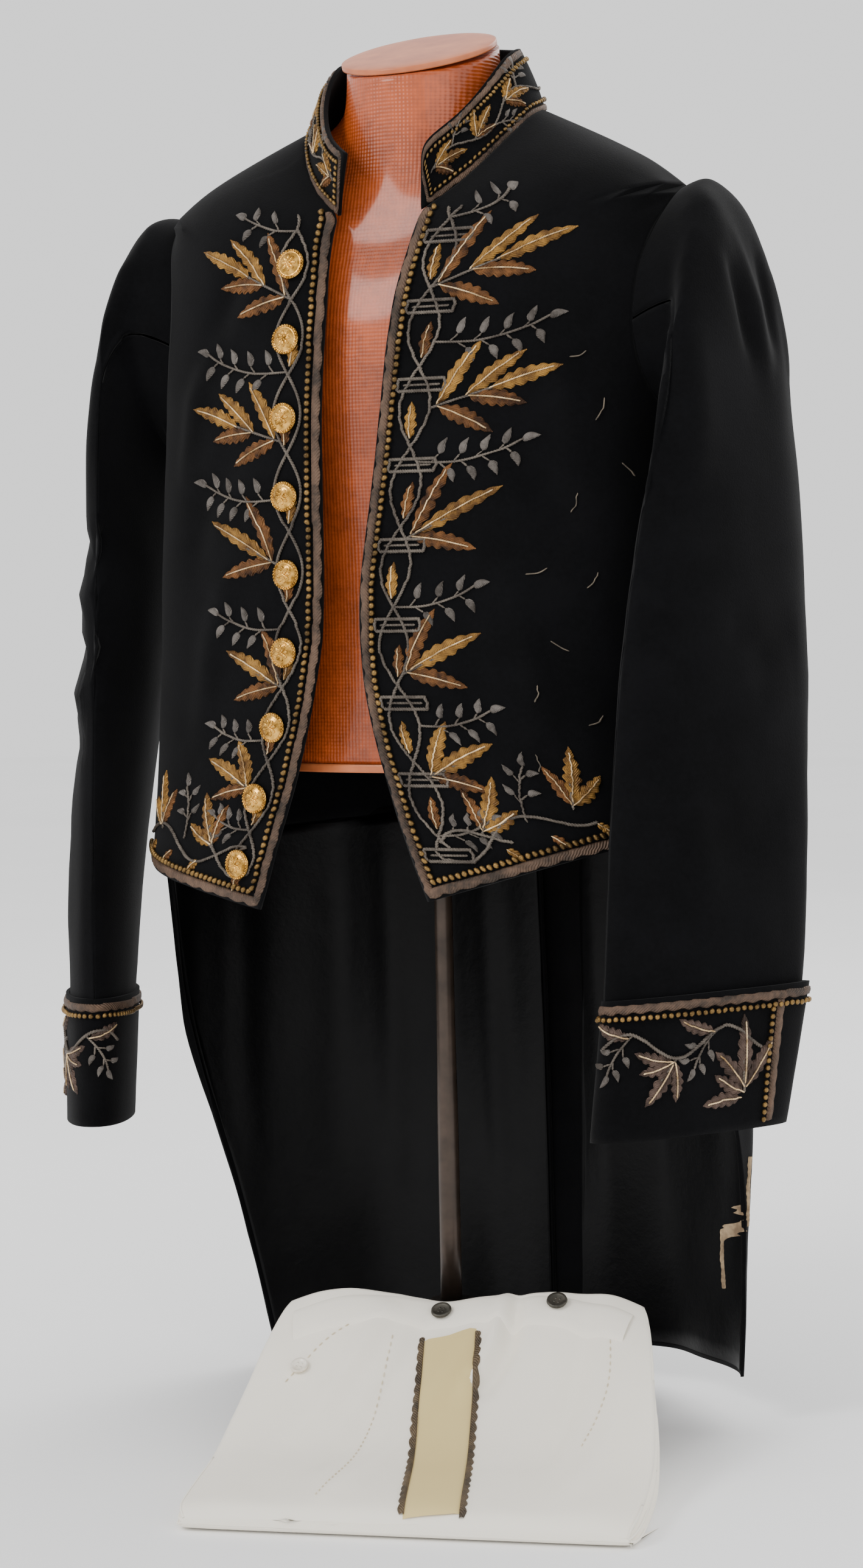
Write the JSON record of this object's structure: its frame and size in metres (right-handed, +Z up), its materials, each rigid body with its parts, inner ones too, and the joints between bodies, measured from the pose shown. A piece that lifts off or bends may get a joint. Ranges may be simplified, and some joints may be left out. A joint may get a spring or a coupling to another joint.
{
  "type": "embroidered court dress tailcoat on a limbless dress form and stand, with folded trousers",
  "caption": "Black diplomatic dress tailcoat with gold oak and laurel embroidery on an orange dress form and stand, with folded cream trousers at its foot.",
  "frame": {"origin": "centre of the stand base's underside, on the floor", "axes": "+Z up, +X to the coat wearer's left, -Y towards the front of the coat"},
  "size_m": [0.6002, 0.4782, 0.9829],
  "materials": {
    "wool": "black broadcloth, soft and matt",
    "satin": "black satin tail lining",
    "braid": "flat metal thread braid with a scalloped edge, tarnished",
    "beads": "row of pearl purl beads, dull gold",
    "oak_gold": "padded gold thread embroidery of oak leaves, laurel and cord, tarnished",
    "gilt": "gilt dome button",
    "form_cloth": "glazed orange-brown cover of the dress form",
    "form_cap": "pale orange neck cap",
    "pole_metal": "dark brown enamel pole",
    "base_metal": "dark enamel base",
    "cream_wool": "cream wool cloth, matt",
    "gold_lace": "gold lace stripe with dark picot edges",
    "pewter": "dark pewter four-hole button",
    "pearl": "pearl shirt button"
  },
  "bodies": {
    "root": {"coat_front_left": "wool", "coat_back_left": "wool", "coat_side_left": "wool", "sleeve_top_left": "wool", "sleeve_under_left": "wool", "cuff_left": "wool", "collar_left": "wool", "tail_left": "wool", "tail_lining_left": "satin", "front_braid_left": "braid", "collar_braid_left": "braid", "cuff_braid_left": "braid", "front_beading_left": "beads", "front_embroidery_left": "oak_gold", "collar_embroidery_left": "oak_gold", "cuff_embroidery_left": "oak_gold", "coat_front_right": "wool", "coat_back_right": "wool", "coat_side_right": "wool", "sleeve_top_right": "wool", "sleeve_under_right": "wool", "cuff_right": "wool", "collar_right": "wool", "tail_right": "wool", "tail_lining_right": "satin", "front_braid_right": "braid", "collar_braid_right": "braid", "cuff_braid_right": "braid", "front_beading_right": "beads", "front_embroidery_right": "oak_gold", "collar_embroidery_right": "oak_gold", "cuff_embroidery_right": "oak_gold", "button_1": "gilt", "button_2": "gilt", "button_3": "gilt", "button_4": "gilt", "button_5": "gilt", "button_6": "gilt", "button_7": "gilt", "button_8": "gilt", "button_9": "gilt", "form_torso": "form_cloth", "form_neck_cap": "form_cap", "form_rim": "form_cloth", "pole": "pole_metal", "base": "base_metal", "trousers_folded": "cream_wool", "trouser_stripe": "gold_lace", "trouser_waistband": "cream_wool", "trouser_button_1": "pewter", "trouser_button_2": "pewter", "trouser_pocket_button": "pearl"}
  },
  "joints": []
}
